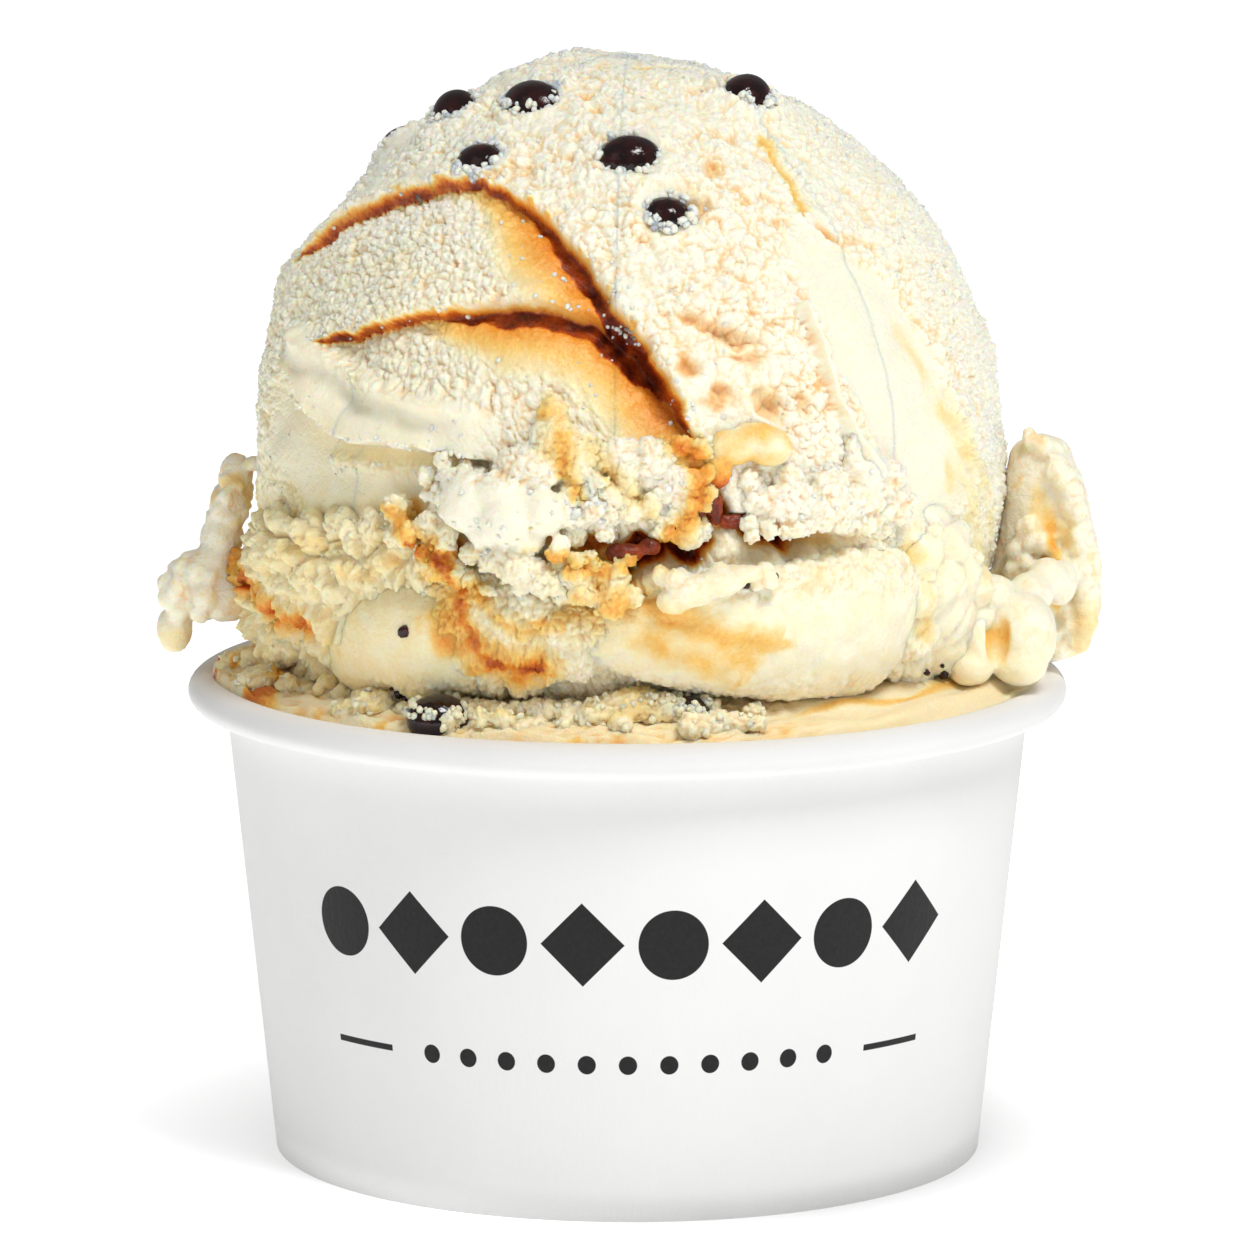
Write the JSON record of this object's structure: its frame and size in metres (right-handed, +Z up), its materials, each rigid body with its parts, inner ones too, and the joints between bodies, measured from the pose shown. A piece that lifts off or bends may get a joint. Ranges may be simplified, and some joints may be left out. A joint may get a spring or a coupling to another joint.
{
  "type": "gelato cup",
  "caption": "Small white paper cup heaped with a ball of cream-coloured gelato that has caramel ripples and dark glossy pearls.",
  "frame": {"origin": "middle of the cup's foot, on the surface that it stands on", "axes": "+Z up, -Y is the front with the printed ornament and the caramel ripples, +X is the side with the larger dollop"},
  "size_m": [0.0997, 0.092, 0.115],
  "materials": {
    "paper": "matte white coated paperboard with a fine grain",
    "gelato": "pale cream gelato, torn and crumbly, with caramel ripples",
    "gelato_fill": "warmer, softer gelato stained with caramel",
    "pearl": "glossy dark chocolate"
  },
  "bodies": {
    "root": {"cup_wall": "paper", "cup_bottom": "paper", "gelato_fill": "gelato_fill", "gelato_ball": "gelato", "dollop_left": "gelato", "dollop_right": "gelato", "dollop_front_right": "gelato", "pearl_ball_1": "pearl", "pearl_ball_2": "pearl", "pearl_ball_3": "pearl", "pearl_ball_4": "pearl", "pearl_ball_5": "pearl", "pearl_ball_6": "pearl", "pearl_ball_7": "pearl", "pearl_ball_8": "pearl", "pearl_ball_9": "pearl", "pearl_fill_1": "pearl", "pearl_fill_2": "pearl", "pearl_fill_3": "pearl"}
  },
  "joints": []
}
